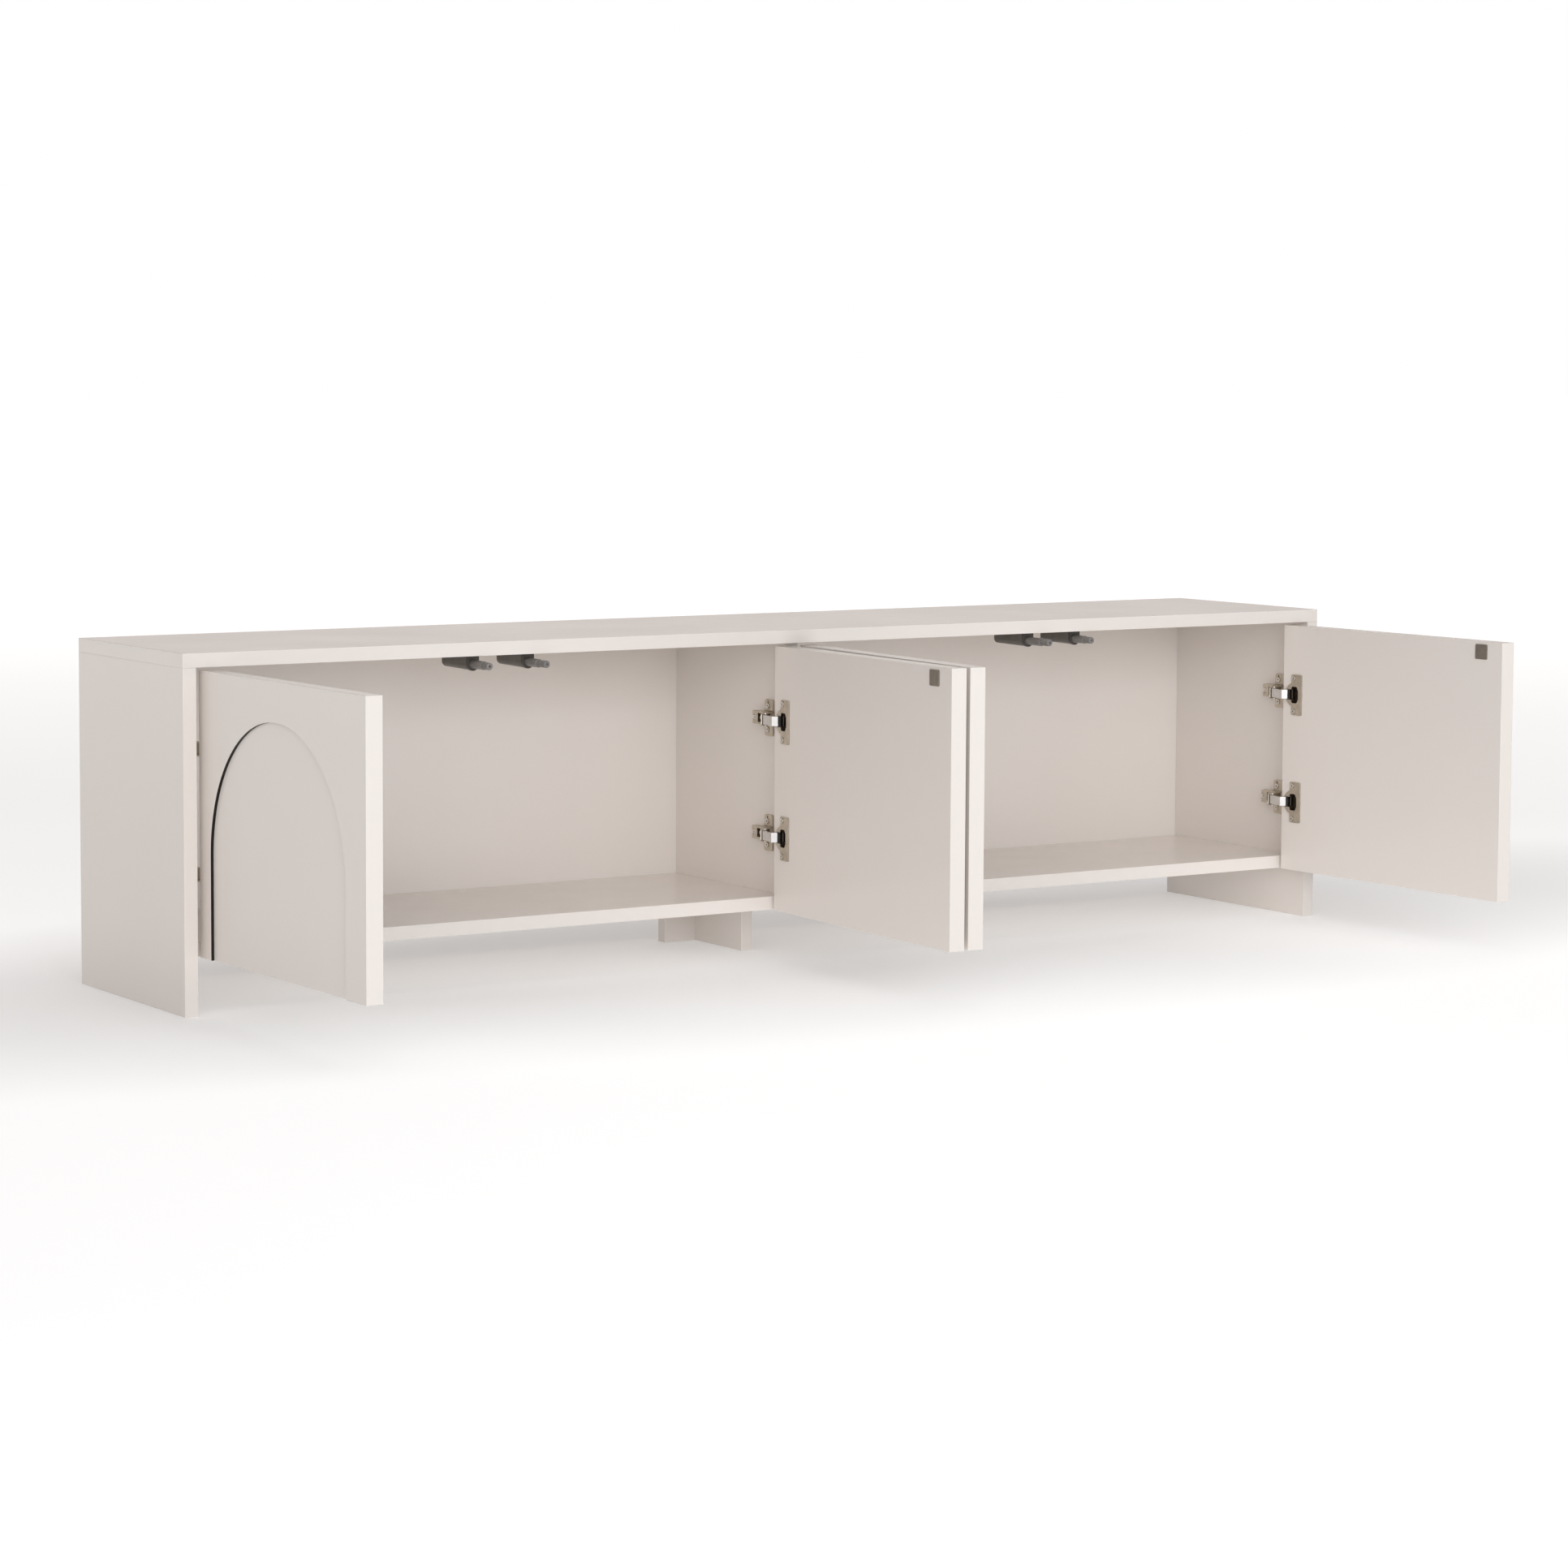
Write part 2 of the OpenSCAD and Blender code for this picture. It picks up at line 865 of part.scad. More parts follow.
module latch_tube(n) {
    color([0.45, 0.44, 0.43])
        at_door(n)
            translate([latch_p, tube_front_ys[n], latch_z])
                rotate([-90, 0, 0])
                    difference() {
                        cylinder(r = latch_tube_r, h = tube_rear_y - tube_front_ys[n]);
                        translate([0, 0, -cut])
                            cylinder(r = stud_bore_r, h = stud_bore_l + cut);
                    }
}

module latch_tip(n) {
    neck_l = tip_reach[n] + tube_front_ys[n];
    color([0.5, 0.49, 0.48])
        at_door(n)
            translate([latch_p, -tip_reach[n], latch_z])
                rotate([-90, 0, 0])
                    difference() {
                        union() {
                            cylinder(r1 = latch_tip_r - tip_ease.x, r2 = latch_tip_r, h = tip_ease.y);
                            translate([0, 0, tip_ease.y])
                                cylinder(r = latch_tip_r, h = tip_head_l - tip_ease.y);
                            cylinder(r = latch_tip_r - tip_neck, h = neck_l);
                            cylinder(r = stud_r, h = neck_l + stud_l);
                        }
                        for (a = [0, 90])
                            rotate([0, 0, a])
                                translate([-tip_slot.x / 2, -tip_slot.y / 2, -cut])
                                    cube([tip_slot.x, tip_slot.y, tip_slot.z + cut]);
                    }
}

top_panel();
left_side_panel();
right_side_panel();
bottom_panel();
back_panel();
centre_partition();
centre_foot_long_board();
centre_foot_cross_board();
board_dowels();
hinge_mounting_plates();
hinge_plate_screws();
inset_hinge_arms();
half_lap_hinge_arms();
hinge_arm_pins();
hinge_rear_screws();
hinge_slot_screws();
latch_housings();
latch_screws();
hinge_links(0);  // hinge_links_1
hinge_links(1);  // hinge_links_2
hinge_links(2);  // hinge_links_3
hinge_links(3);  // hinge_links_4
latch_tube(0);  // latch_tube_1
latch_tube(1);  // latch_tube_2
latch_tube(2);  // latch_tube_3
latch_tube(3);  // latch_tube_4
latch_tip(0);  // latch_tip_1
latch_tip(1);  // latch_tip_2
latch_tip(2);  // latch_tip_3
latch_tip(3);  // latch_tip_4
door_panel(0);  // door_1_panel
door_arch_frame(0);  // door_1_arch_frame
door_arch_band(0);  // door_1_arch_band
door_hinge_cups(0);  // door_1_hinge_cups
door_cup_pins(0);  // door_1_cup_pins
door_cup_screws(0);  // door_1_cup_screws
door_strike_plate(0);  // door_1_strike_plate
door_panel(1);  // door_2_panel
door_arch_frame(1);  // door_2_arch_frame
door_arch_band(1);  // door_2_arch_band
door_hinge_cups(1);  // door_2_hinge_cups
door_cup_pins(1);  // door_2_cup_pins
door_cup_screws(1);  // door_2_cup_screws
door_strike_plate(1);  // door_2_strike_plate
door_panel(2);  // door_3_panel
door_arch_frame(2);  // door_3_arch_frame
door_arch_band(2);  // door_3_arch_band
door_hinge_cups(2);  // door_3_hinge_cups
door_cup_pins(2);  // door_3_cup_pins
door_cup_screws(2);  // door_3_cup_screws
door_strike_plate(2);  // door_3_strike_plate
door_panel(3);  // door_4_panel
door_arch_frame(3);  // door_4_arch_frame
door_arch_band(3);  // door_4_arch_band
door_hinge_cups(3);  // door_4_hinge_cups
door_cup_pins(3);  // door_4_cup_pins
door_cup_screws(3);  // door_4_cup_screws
door_strike_plate(3);  // door_4_strike_plate
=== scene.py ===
"""Low TV stand with four arched doors, shown with its doors open. Metres, +Z up, front -Y."""
import bpy
import json
import math
from mathutils import Matrix, Vector


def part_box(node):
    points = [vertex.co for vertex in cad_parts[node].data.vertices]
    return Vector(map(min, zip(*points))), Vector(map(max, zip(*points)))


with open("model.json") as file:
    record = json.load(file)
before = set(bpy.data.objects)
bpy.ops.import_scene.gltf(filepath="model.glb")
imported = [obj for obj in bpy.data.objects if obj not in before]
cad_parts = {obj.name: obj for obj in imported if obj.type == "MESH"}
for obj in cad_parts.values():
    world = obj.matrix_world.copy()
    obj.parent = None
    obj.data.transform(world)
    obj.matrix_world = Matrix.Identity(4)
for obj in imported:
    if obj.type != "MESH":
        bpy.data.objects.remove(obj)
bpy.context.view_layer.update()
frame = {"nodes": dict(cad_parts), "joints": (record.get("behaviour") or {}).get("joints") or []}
nodes = frame["nodes"]
joints = {j["name"]: j for j in frame["joints"]}

MM = 0.001
DOORS = (1, 2, 3, 4)
FRONT_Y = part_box("top_panel")[0].y
SIDE_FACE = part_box("right_side_panel")[0].x
PARTITION_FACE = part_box("centre_partition")[1].x


# ---------- door frames: where each door's own axes lie at rest ----------

PIN_U, PIN_V = 10.2 * MM, -8.2 * MM          # cup pin on the door
TURN = 1.22                                  # swing joint's degrees per degree of opening


class DoorFrame:
    """u runs along the door from its hinge edge, v out of its inner face."""

    def __init__(self, n):
        swing = joints[f"door_{n}_swing"]
        side = -swing["axis"][2]
        opening = math.radians(-swing["range_deg"][0] / TURN)
        self.u = Vector((side * math.cos(opening), -math.sin(opening), 0))
        self.v = Vector((side * math.sin(opening), math.cos(opening), 0))
        pin = Vector((swing["pos_m"][0], swing["pos_m"][1], 0))
        self.origin = pin - self.u * PIN_U - self.v * PIN_V

    def local(self, p):
        """A point's place along the door's own axes."""
        d = p - self.origin
        return Vector((d.dot(self.u), d.dot(self.v), p.z))


door_frame = {n: DoorFrame(n) for n in DOORS}


# ---------- node helpers ----------

def new_node(tree, kind, **props):
    node = tree.nodes.new(kind)
    for key, val in props.items():
        setattr(node, key, val)
    return node


def rgb(r, g, b):
    return (r, g, b, 1.0)


def tint(base, share):
    """A colour made darker or paler, never past white."""
    return rgb(*[min(1.0, c * share) for c in base])


RECESS_SHADE = rgb(0.05, 0.04, 0.03)                 # painted shade colour for recesses of the fittings
# strength of the painted recess shade
RECESS_SHADE_STRENGTH = 0.75
HIGHLIGHT_LEAN = (0.02, 0.35)                     # lean of a rounded normal where the painted edge highlight starts and is full


class Mat:
    """Small wrapper that builds a procedural material around one Principled shader."""

    def __init__(self, name, **inputs):
        self.mat = bpy.data.materials.new(name)
        self.mat.use_nodes = True
        self.nt = self.mat.node_tree
        self.bsdf = self.nt.nodes["Principled BSDF"]
        self.coord = self.add("ShaderNodeTexCoord")
        self.set(**inputs)

    def set(self, **inputs):
        for key, val in inputs.items():
            self.bsdf.inputs[key.replace("_", " ")].default_value = val

    def add(self, kind, **props):
        return new_node(self.nt, kind, **props)

    def link(self, a, b):
        self.nt.links.new(a, b)

    def plug(self, sock, val):
        """Feeds a socket from another socket, or gives it a plain value."""
        if isinstance(val, bpy.types.NodeSocket):
            self.link(val, sock)
        elif val is not None:
            sock.default_value = val

    def noise(self, scale, detail=3.0, rough=0.5, stretch=None):
        src = self.coord.outputs["Object"]
        if stretch:
            m = self.add("ShaderNodeMapping")
            m.inputs["Scale"].default_value = stretch
            self.link(src, m.inputs["Vector"])
            src = m.outputs["Vector"]
        n = self.add("ShaderNodeTexNoise")
        n.inputs["Scale"].default_value = scale
        n.inputs["Detail"].default_value = detail
        n.inputs["Roughness"].default_value = rough
        self.link(src, n.inputs["Vector"])
        return n.outputs["Fac"]

    def ramp(self, fac, lo, hi, out_lo, out_hi):
        m = self.add("ShaderNodeMapRange", clamp=True)
        for i, val in enumerate((fac, lo, hi, out_lo, out_hi)):
            self.plug(m.inputs[i], val)
        return m.outputs[0]

    def mix(self, fac, a, b):
        m = self.add("ShaderNodeMix", data_type="RGBA")
        for i, val in ((0, fac), (6, a), (7, b)):
            self.plug(m.inputs[i], val)
        return m.outputs[2]

    def math(self, op, a, b=None):
        m = self.add("ShaderNodeMath", operation=op)
        self.plug(m.inputs[0], a)
        self.plug(m.inputs[1], b)
        return m.outputs[0]

    def vector(self, op, a, b=None):
        m = self.add("ShaderNodeVectorMath", operation=op)
        self.plug(m.inputs[0], a)
        self.plug(m.inputs[1], b)
        return m.outputs["Value" if op in ("DOT_PRODUCT", "LENGTH") else "Vector"]

    def drift(self, low, high, noise, spread=(0.3, 0.7)):
        """A colour that wanders between two tones with a noise."""
        return self.mix(self.ramp(noise, *spread, 0.0, 1.0), low, high)

    def color(self, sock):
        self.link(sock, self.bsdf.inputs["Base Color"])

    def roughness(self, sock):
        self.link(sock, self.bsdf.inputs["Roughness"])

    def bump(self, height, strength, distance):
        b = self.add("ShaderNodeBump")
        b.inputs["Strength"].default_value = strength
        b.inputs["Distance"].default_value = distance
        self.link(height, b.inputs["Height"])
        self.link(b.outputs["Normal"], self.bsdf.inputs["Normal"])

    def grain(self, noise, rough_lo, rough_hi, strength, depth, spread=(0.3, 0.7)):
        """One noise for both the roughness and a fine bump."""
        self.roughness(self.ramp(noise, *spread, rough_lo, rough_hi))
        self.bump(noise, strength, depth)

    def edge(self, radius):
        """0 on flat faces, 1 on edges that get a painted highlight: how far a rounded normal leans from
        the true one.
        """
        rounded = self.add("ShaderNodeBevel", samples=4)
        rounded.inputs["Radius"].default_value = radius
        true_normal = self.add("ShaderNodeNewGeometry").outputs["Normal"]
        same = self.vector("DOT_PRODUCT", rounded.outputs["Normal"], true_normal)
        return self.ramp(self.math("SUBTRACT", 1.0, same), *HIGHLIGHT_LEAN, 0.0, 1.0)

    def recess_shaded(self, color, reach):
        """Darkens a colour with painted shade in recesses and close corners, where light doesn't get."""
        ao = self.add("ShaderNodeAmbientOcclusion", samples=6)
        ao.inputs["Distance"].default_value = reach
        return self.mix(self.ramp(ao.outputs["AO"], 0.25, 0.85, RECESS_SHADE_STRENGTH, 0.0), color, RECESS_SHADE)

    def plane_side(self, origin, normal, lo, hi):
        """0 below lo and 1 above hi, along a direction from a point in the row frame."""
        away = self.vector("SUBTRACT", self.coord.outputs["Object"], origin)
        return self.ramp(self.vector("DOT_PRODUCT", away, normal), lo, hi, 0.0, 1.0)


# ---------- materials ----------

LACQUER = (0.835, 0.783, 0.738)
LACQUER_ROUGHNESS = (0.17, 0.23)
NICKEL = (0.61, 0.552, 0.465)
BRIGHT_STEEL = (0.72, 0.69, 0.64)
OILED_STEEL = (0.10, 0.09, 0.08)
STRIKE_STEEL = (0.40, 0.365, 0.32)
TUBE_GREY = (0.215, 0.205, 0.195)
HIGHLIGHT_REACH = 0.5 * MM                            # how far the painted edge highlight reaches in from the edges of fittings
# how far the painted recess shade reaches
RECESS_SHADE_REACH = 2.0 * MM


def lacquer(name, base):
    """Sprayed satin lacquer on board: faint cloudiness, fine orange peel, edges a little paler in patches
    as a painted highlight.
    """
    m = Mat(name, Specular_IOR_Level=0.5, IOR=1.5)
    cloudy = m.drift(tint(base, 0.988), tint(base, 1.01), m.noise(2.3, 4.0, 0.55), (0.32, 0.68))
    specks = m.ramp(m.noise(38.0, 5.0, 0.6), 0.30, 0.72, 0.0, 0.08)
    speckled = m.mix(specks, cloudy, tint(base, 0.94))
    # painted highlight: edges a little paler in patches, and a little rougher there
    edge_highlight = m.math("MULTIPLY", m.edge(1.2 * MM), m.ramp(m.noise(60.0), 0.35, 0.65, 0.15, 0.6))
    m.color(m.mix(edge_highlight, speckled, tint(base, 1.07)))
    haze = m.ramp(m.noise(7.0), 0.3, 0.7, *LACQUER_ROUGHNESS)
    m.roughness(m.math("ADD", haze, m.math("MULTIPLY", edge_highlight, 0.05)))
    m.bump(m.noise(420.0, 2.0), 0.10, 0.12 * MM)
    return m.mat


def plated(m, base, highlight=0.5):
    """Colour of plated steel: the tone drifts a little and the edges get a brighter painted highlight."""
    tone = m.drift(tint(base, 0.86), tint(base, 1.08), m.noise(90.0, 4.0, 0.6))
    return m.mix(m.math("MULTIPLY", m.edge(HIGHLIGHT_REACH), highlight), tone, tint(base, 1.35))


def scratched(m, noise, rough_lo, rough_hi):
    """Fine scratches of plated steel."""
    m.grain(noise, rough_lo, rough_hi, 0.12, 0.05 * MM, (0.25, 0.75))


def metal(name, base, rough, brushed=None, highlight=0.5):
    """Plated steel with painted shade in its recesses and a painted highlight on its edges. brushed
    stretches the scratches along an axis.
    """
    m = Mat(name, Metallic=1.0)
    m.color(m.recess_shaded(plated(m, base, highlight), RECESS_SHADE_REACH))
    scratched(m, m.noise(300.0, 3.0, 0.55, brushed), rough * 0.75, rough * 1.3)
    return m.mat


def plastic(name, base, rough):
    """Moulded plastic with a fine grain and a slightly paler painted highlight on its edges."""
    m = Mat(name, Specular_IOR_Level=0.45)
    tone = m.drift(tint(base, 0.88), tint(base, 1.1), m.noise(55.0))
    m.color(m.mix(m.math("MULTIPLY", m.edge(HIGHLIGHT_REACH), 0.4), tone, tint(base, 1.5)))
    m.grain(m.noise(900.0, 2.0), rough - 0.06, rough + 0.08, 0.25, 0.04 * MM)
    return m.mat


def wood():
    """Bare beech dowels, grain along their length."""
    m = Mat("bare_beech")
    grain = m.noise(180.0, 4.0, 0.6, (1.0, 0.15, 0.15))
    m.color(m.drift(rgb(0.45, 0.30, 0.16), rgb(0.62, 0.45, 0.27), grain))
    m.grain(grain, 0.6, 0.75, 0.3, 0.1 * MM)
    return m.mat


RIM = -21.97 * MM                            # just under the raised frame's face


def arch_lining(n):
    """Dark lining of the arch, near black with a brown tint; its rim is lacquered over."""
    f = door_frame[n]
    m = Mat(f"arch_lining_{n}", Specular_IOR_Level=0.3)
    dark = m.drift(rgb(0.005, 0.003, 0.002), rgb(0.011, 0.007, 0.004), m.noise(30.0, 4.0))
    inside = m.plane_side(f.origin, f.v, RIM - 0.01 * MM, RIM)
    m.color(m.mix(inside, rgb(*LACQUER), dark))
    m.roughness(m.ramp(m.noise(200.0), 0.3, 0.7, 0.32, 0.46))
    m.bump(m.noise(500.0), 0.1, 0.05 * MM)
    return m.mat


RIB_TOP = 8.8 * MM                           # height of the mounting plate's rib above its board
SLOT = (58.8 * MM, 69.8 * MM)                # reach of the arm's long slot behind the case front
# painted shade on the rib under the arm's slot
SLOT_SHADE = rgb(0.010, 0.009, 0.008)


def mounting_plate():
    """Nickel plate whose raised rib is painted dark as shade under the arm's slot, with painted shade in
    its recesses and a painted highlight on its edges.
    """
    m = Mat("mounting_plate", Metallic=1.0)
    axes = m.add("ShaderNodeSeparateXYZ")
    m.link(m.coord.outputs["Object"], axes.inputs[0])
    x = m.math("ABSOLUTE", axes.outputs["X"])
    rise = m.math("MINIMUM", m.math("SUBTRACT", x, PARTITION_FACE), m.math("SUBTRACT", SIDE_FACE, x))
    top = m.ramp(rise, RIB_TOP, RIB_TOP + 0.1 * MM, 0.0, 1.0)
    start, end = (FRONT_Y + reach for reach in SLOT)
    near = m.ramp(axes.outputs["Y"], start, start + 0.2 * MM, 0.0, 1.0)
    far = m.ramp(axes.outputs["Y"], end, end + 0.2 * MM, 1.0, 0.0)
    shade_under_slot = m.math("MULTIPLY", top, m.math("MULTIPLY", near, far))
    m.color(m.mix(shade_under_slot, m.recess_shaded(plated(m, NICKEL), RECESS_SHADE_REACH), SLOT_SHADE))
    scratched(m, m.noise(300.0), 0.26, 0.44)
    return m.mat


def bright_link(n):
    """Bright plated link with a painted highlight on its edges and painted shade in its recesses, painted
    dark as shade where it dips into the cup.
    """
    f = door_frame[n]
    m = Mat(f"bright_link_{n}", Metallic=1.0)
    tone = m.drift(rgb(0.62, 0.61, 0.60), rgb(0.72, 0.71, 0.70), m.noise(90.0, 4.0, 0.6))
    # painted highlight on the link's edges
    shine = m.mix(m.math("MULTIPLY", m.edge(HIGHLIGHT_REACH), 0.3), tone, rgb(0.85, 0.84, 0.83))
    # painted shade: the part of the link inside the cup is dark
    out = m.plane_side(f.origin, f.v, -4.0 * MM, -2.5 * MM)
    m.color(m.mix(out, rgb(0.06, 0.05, 0.04), m.recess_shaded(shine, 1.5 * MM)))
    scratched(m, m.noise(300.0), 0.26, 0.36)
    return m.mat


def hinge_cup(n):
    """Nickel flange with a painted highlight on its edges and painted shade in its recesses; the inside
    of the cup below it is painted dark brown-black as shade.
    """
    f = door_frame[n]
    m = Mat(f"hinge_cup_{n}")
    flange = m.plane_side(f.origin, f.v, -0.4 * MM, -0.1 * MM)
    # painted shade inside the cup
    hollow_shade = m.drift(rgb(0.020, 0.014, 0.009), rgb(0.085, 0.060, 0.040), m.noise(400.0), (0.35, 0.65))
    m.color(m.mix(flange, hollow_shade, m.recess_shaded(plated(m, NICKEL), RECESS_SHADE_REACH)))
    m.link(flange, m.bsdf.inputs["Metallic"])
    scratched(m, m.noise(300.0), 0.26, 0.44)
    return m.mat


COLLAR_END = 32.4 * MM                       # back of the latch's collar, behind the case front


def latch_housing():
    """Dark grey housing whose collar is nearly black."""
    m = Mat("latch_housing", Specular_IOR_Level=0.45)
    collar = rgb(0.060, 0.054, 0.047)
    tone = m.drift(rgb(0.115, 0.105, 0.092), rgb(0.15, 0.138, 0.122), m.noise(55.0))
    behind = m.plane_side((0, FRONT_Y, 0), (0, 1, 0), COLLAR_END, COLLAR_END + 0.2 * MM)
    m.color(m.mix(behind, collar, tone))
    m.grain(m.noise(900.0, 2.0), 0.36, 0.5, 0.25, 0.04 * MM)
    return m.mat


board_mat = lacquer("satin_lacquer", LACQUER)
nickel_mat = metal("nickel_plate", NICKEL, 0.34)
screw_mat = metal("bright_pin", BRIGHT_STEEL, 0.22)
# the oiled pins get a weaker painted edge highlight
cup_pin_mat = metal("oiled_pin", OILED_STEEL, 0.4, highlight=0.2)
strike_mat = metal("brushed_strike", STRIKE_STEEL, 0.46, brushed=(1.0, 1.0, 0.06))
tube_mat = plastic("latch_tube_grey", TUBE_GREY, 0.38)


# ---------- materials and eased edges on the CAD nodes ----------

BOARDS = ("top_panel", "left_side_panel", "right_side_panel", "bottom_panel", "back_panel",
          "centre_partition", "centre_foot_long_board", "centre_foot_cross_board")
CASE_SCREWS = ("hinge_plate_screws", "hinge_arm_pins", "hinge_rear_screws", "hinge_slot_screws",
               "latch_screws")
# widths of the eased edges
BOARD_EASE = 0.5 * MM
BRACKET_EASE = 0.2 * MM
SCREW_EASE = 0.1 * MM
CUP_EASE = 0.15 * MM
STRIKE_EASE = 0.25 * MM
LATCH_EASE = 0.3 * MM
TIP_EASE = 0.15 * MM
SEAM_SHARE = 0.08                            # of the width, where the two layers of a door meet
SHARP = math.radians(35)
SAME_PLACE = 0.05 * MM


def paint(name, mat):
    data = nodes[name].data
    if len(data.materials):
        for i in range(len(data.materials)):
            data.materials[i] = mat
    else:
        data.materials.append(mat)


def clean(name):
    """Joins the CAD mesh's split corners and makes each plane one face."""
    weld = nodes[name].modifiers.new("join_corners", "WELD")
    weld.merge_threshold = 0.002 * MM
    flat = nodes[name].modifiers.new("one_face_per_plane", "DECIMATE")
    flat.decimate_type = "DISSOLVE"
    flat.angle_limit = math.radians(0.2)


def shade(name):
    """Keeps the large faces flat in the shading."""
    n = nodes[name].modifiers.new("flat_faces", "WEIGHTED_NORMAL")
    n.keep_sharp = False
    n.weight = 80


def ease(name, width, segments=2, keep=None):
    """Eases a node's sharp edges, or each by the share of the width that keep(a, b) gives."""
    clean(name)
    b = nodes[name].modifiers.new("eased_edges", "BEVEL")
    b.width = width
    b.segments = segments
    b.use_clamp_overlap = False
    if keep:
        mesh = nodes[name].data
        weights = mesh.attributes.new("bevel_weight_edge", "FLOAT", "EDGE")
        for e in mesh.edges:
            p, q = (mesh.vertices[i].co for i in e.vertices)
            weights.data[e.index].value = keep(p, q)
        b.limit_method = "WEIGHT"
    else:
        b.limit_method = "ANGLE"
        b.angle_limit = SHARP
    shade(name)


def on_box(lo, hi, to_local=lambda p: p, seam=None):
    """Test for the edges of a box, given its corners: both ends lie on two of its faces.
    Edges on the seam, the face where two layers meet, keep only a hair of a bevel."""
    def faces(p):
        p = to_local(p)
        return {(i, s) for i in range(3) for s, w in enumerate((lo[i], hi[i]))
                if abs(p[i] - w) < SAME_PLACE}

    def keep(p, q):
        both = faces(p) & faces(q)
        if len(both) < 2:
            return 0.0
        return SEAM_SHARE if seam in both else 1.0
    return keep


def finish_board(name):
    paint(name, board_mat)
    ease(name, BOARD_EASE, keep=on_box(*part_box(name)))


def finish_door_layer(name, f, seam):
    """As finish_board, for a board at its door's own angle."""
    paint(name, board_mat)
    pts = [f.local(v.co) for v in nodes[name].data.vertices]
    lo, hi = (Vector([pick(p[i] for p in pts) for i in range(3)]) for pick in (min, max))
    ease(name, BOARD_EASE, keep=on_box(lo, hi, f.local, seam))


def finish_fitting(name, mat, width, segments=2):
    paint(name, mat)
    ease(name, width, segments)


for name in BOARDS:
    finish_board(name)
finish_fitting("hinge_mounting_plates", mounting_plate(), BRACKET_EASE)
finish_fitting("inset_hinge_arms", nickel_mat, BRACKET_EASE)
finish_fitting("half_lap_hinge_arms", nickel_mat, BRACKET_EASE)
for name in CASE_SCREWS:
    finish_fitting(name, screw_mat, SCREW_EASE, 1)
paint("board_dowels", wood())
finish_fitting("latch_housings", latch_housing(), LATCH_EASE)

# a face of a door's layer: (axis, side), where axis 1 is v and side 0 the low one
OUTER_FACE, INNER_FACE = (1, 0), (1, 1)
for n in DOORS:
    finish_door_layer(f"door_{n}_panel", door_frame[n], OUTER_FACE)
    finish_door_layer(f"door_{n}_arch_frame", door_frame[n], INNER_FACE)
    paint(f"door_{n}_arch_band", arch_lining(n))
    finish_fitting(f"door_{n}_hinge_cups", hinge_cup(n), CUP_EASE)
    paint(f"door_{n}_cup_pins", cup_pin_mat)
    finish_fitting(f"door_{n}_cup_screws", screw_mat, SCREW_EASE, 1)
    finish_fitting(f"door_{n}_strike_plate", strike_mat, STRIKE_EASE)
    finish_fitting(f"hinge_links_{n}", bright_link(n), BRACKET_EASE)
    finish_fitting(f"latch_tube_{n}", tube_mat, LATCH_EASE)
    finish_fitting(f"latch_tip_{n}", tube_mat, TIP_EASE)


# ---------- floor ----------

# the floor glows faintly: least under the object, most far away, where it meets the background
FLOOR_GLOW, FAR_GLOW = 0.49, 0.78
GLOW_RISE = (2.2, 7.5)
SHADE_SPREAD = (1.0, 3.0, 0.0)               # stretches distances so that the object's own area is round
SHADE_RISE, SHADE_LEFT = (0.8, 2.2), 0.40
FLOOR_REACH = 60.0
FLOOR_DROP = 0.2 * MM                        # keeps the floor clear of the feet's undersides


def pale_floor():
    m = Mat("pale_floor", Specular_IOR_Level=0.1)
    m.color(m.drift(rgb(0.92, 0.92, 0.92), rgb(0.94, 0.94, 0.94), m.noise(0.8)))
    m.roughness(m.ramp(m.noise(5.0), 0.3, 0.7, 0.85, 0.95))
    m.set(Emission_Color=rgb(1, 1, 1))
    place = m.coord.outputs["Object"]
    away = m.vector("LENGTH", place)
    near = m.vector("LENGTH", m.vector("MULTIPLY", place, SHADE_SPREAD))
    glow = m.math("MULTIPLY", m.ramp(away, *GLOW_RISE, FLOOR_GLOW, FAR_GLOW),
                  m.ramp(near, *SHADE_RISE, SHADE_LEFT, 1.0))
    m.link(glow, m.bsdf.inputs["Emission Strength"])
    return m.mat


mesh = bpy.data.meshes.new("floor")
mesh.from_pydata([(-FLOOR_REACH, -FLOOR_REACH, 0), (FLOOR_REACH, -FLOOR_REACH, 0),
                  (FLOOR_REACH, FLOOR_REACH, 0), (-FLOOR_REACH, FLOOR_REACH, 0)], [], [(0, 1, 2, 3)])
mesh.materials.append(pale_floor())
floor = bpy.data.objects.new("floor", mesh)
floor.location.z = -FLOOR_DROP
bpy.context.scene.collection.objects.link(floor)


# ---------- light ----------

# soft boxes: name, place, aimed at, size, power, colour
SOFTBOXES = (("front_softbox", (-0.8, -5.0, 1.5), (0, 0, 0.25), (2.8, 1.6), 54.0, (0.94, 1.01, 1.08)),
             ("top_softbox", (0.0, -0.6, 3.6), (0, 0, 0.3), (4.0, 2.4), 26.0, (1, 1, 1)))
# soft light from one direction each: toward, tightness, colour and strength
SKY_LOBES = (((-0.8, -1, 0.3), 6.0, (2.20, 2.10, 2.05)),
             ((0.5, 0.85, 0.25), 3.0, (0.86, 0.79, 0.75)),
             ((0.9, -0.3, 0.3), 3.0, (0.26, 0.26, 0.26)))

for name, location, target, size, power, color in SOFTBOXES:
    data = bpy.data.lights.new(name, "AREA")
    data.shape = "RECTANGLE"
    data.size, data.size_y = size
    data.energy = power
    data.color = color
    lamp = bpy.data.objects.new(name, data)
    lamp.location = location
    lamp.rotation_mode = "QUATERNION"
    lamp.rotation_quaternion = (Vector(target) - Vector(location)).to_track_quat("-Z", "Y")
    bpy.context.scene.collection.objects.link(lamp)


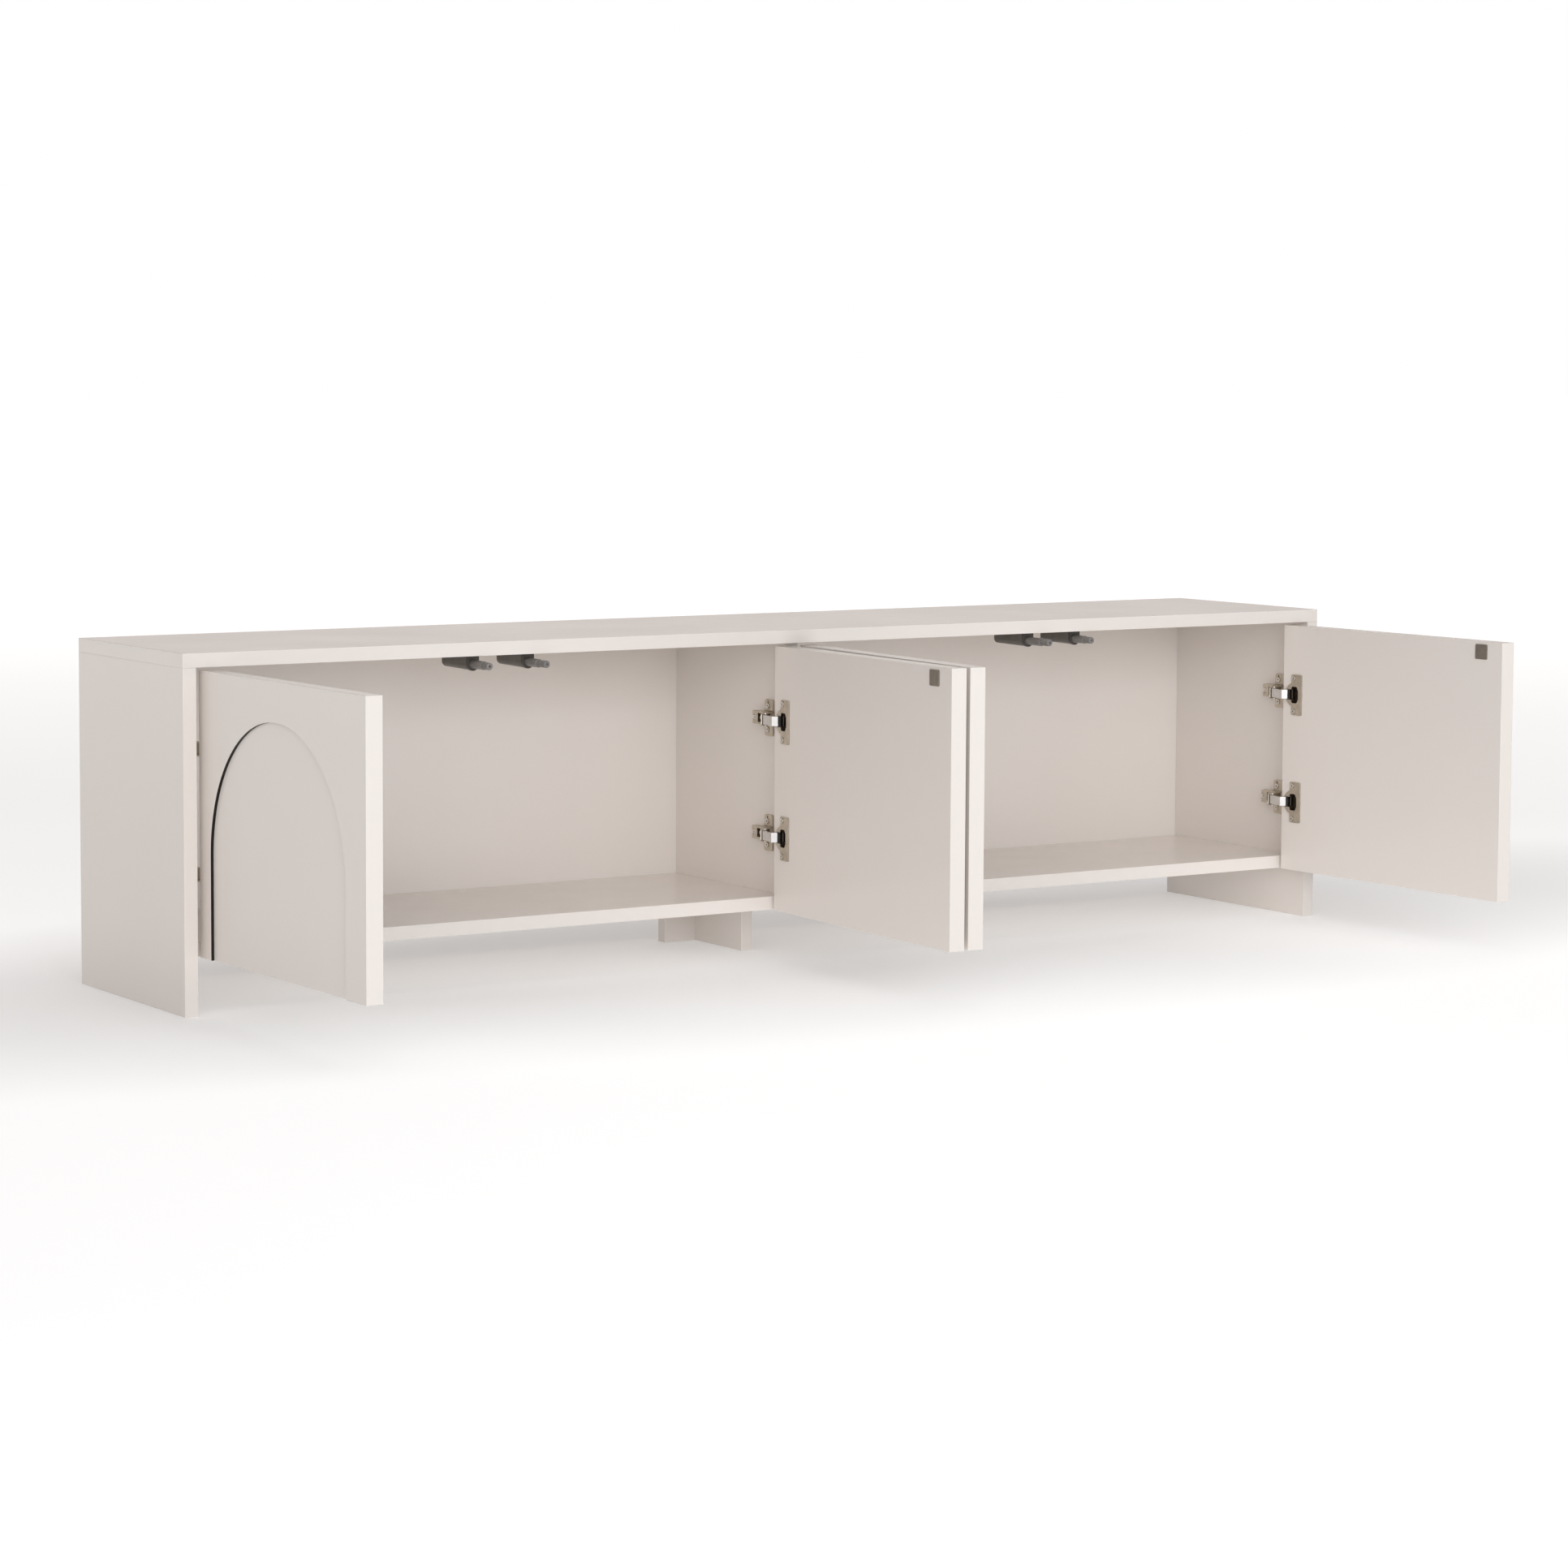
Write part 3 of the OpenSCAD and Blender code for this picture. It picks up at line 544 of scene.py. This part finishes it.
def studio_world():
    """White to the camera; a smooth bright surround that lights the object."""
    world = bpy.data.worlds.new("studio")
    world.use_nodes = True
    tree = world.node_tree
    tree.nodes.clear()
    join = tree.links.new
    way = new_node(tree, "ShaderNodeTexCoord").outputs["Generated"]
    total = None
    for toward, tight, color in SKY_LOBES:
        dot = new_node(tree, "ShaderNodeVectorMath", operation="DOT_PRODUCT")
        join(way, dot.inputs[0])
        dot.inputs[1].default_value = Vector(toward).normalized()
        facing = new_node(tree, "ShaderNodeMath", operation="MAXIMUM")
        join(dot.outputs["Value"], facing.inputs[0])
        facing.inputs[1].default_value = 0.0
        focus = new_node(tree, "ShaderNodeMath", operation="POWER")
        join(facing.outputs[0], focus.inputs[0])
        focus.inputs[1].default_value = tight
        lobe = new_node(tree, "ShaderNodeVectorMath", operation="MULTIPLY_ADD")
        join(focus.outputs[0], lobe.inputs[0])
        lobe.inputs[1].default_value = color
        if total:
            join(total, lobe.inputs[2])
        total = lobe.outputs[0]
    lit = new_node(tree, "ShaderNodeBackground")
    join(total, lit.inputs["Color"])
    seen = new_node(tree, "ShaderNodeBackground")
    seen.inputs["Color"].default_value = rgb(1, 1, 1)
    pick = new_node(tree, "ShaderNodeMixShader")
    join(new_node(tree, "ShaderNodeLightPath").outputs["Is Camera Ray"], pick.inputs[0])
    join(lit.outputs[0], pick.inputs[1])
    join(seen.outputs[0], pick.inputs[2])
    join(pick.outputs[0], new_node(tree, "ShaderNodeOutputWorld").inputs["Surface"])
    return world


bpy.context.scene.world = studio_world()


# ---------- camera: metres, degrees, and millimetres on the sensor ----------

CAMERA_PLACE = (-2.97138, -4.64965, 0.81009)
HEADING, PITCH, ROLL = 32.008, 4.799, 0.2035  # heading from +Y towards +X, pitch downward
SENSOR, LENS = 36.0, 92.858
SHIFT_X, SHIFT_Y = 0.056366, -0.055965        # shares of the frame's width
VIEW_REACH = 200.0

heading, pitch, roll = (math.radians(a) for a in (HEADING, PITCH, ROLL))
forward = Vector((math.sin(heading) * math.cos(pitch), math.cos(heading) * math.cos(pitch),
                  -math.sin(pitch)))
right = forward.cross(Vector((0, 0, 1))).normalized()
down = forward.cross(right)
image_x = right * math.cos(roll) - down * math.sin(roll)
image_y = right * math.sin(roll) + down * math.cos(roll)
cam_data = bpy.data.cameras.new("camera")
cam_data.sensor_width = SENSOR
cam_data.lens = LENS
cam_data.shift_x = SHIFT_X
cam_data.shift_y = SHIFT_Y
cam_data.clip_end = VIEW_REACH
camera = bpy.data.objects.new("camera", cam_data)
turn = Matrix((image_x, -image_y, -forward)).transposed()
camera.matrix_world = Matrix.Translation(CAMERA_PLACE) @ turn.to_4x4()
bpy.context.scene.collection.objects.link(camera)
bpy.context.scene.camera = camera

bpy.context.scene.view_settings.view_transform = "Standard"
bpy.context.scene.view_settings.look = "None"
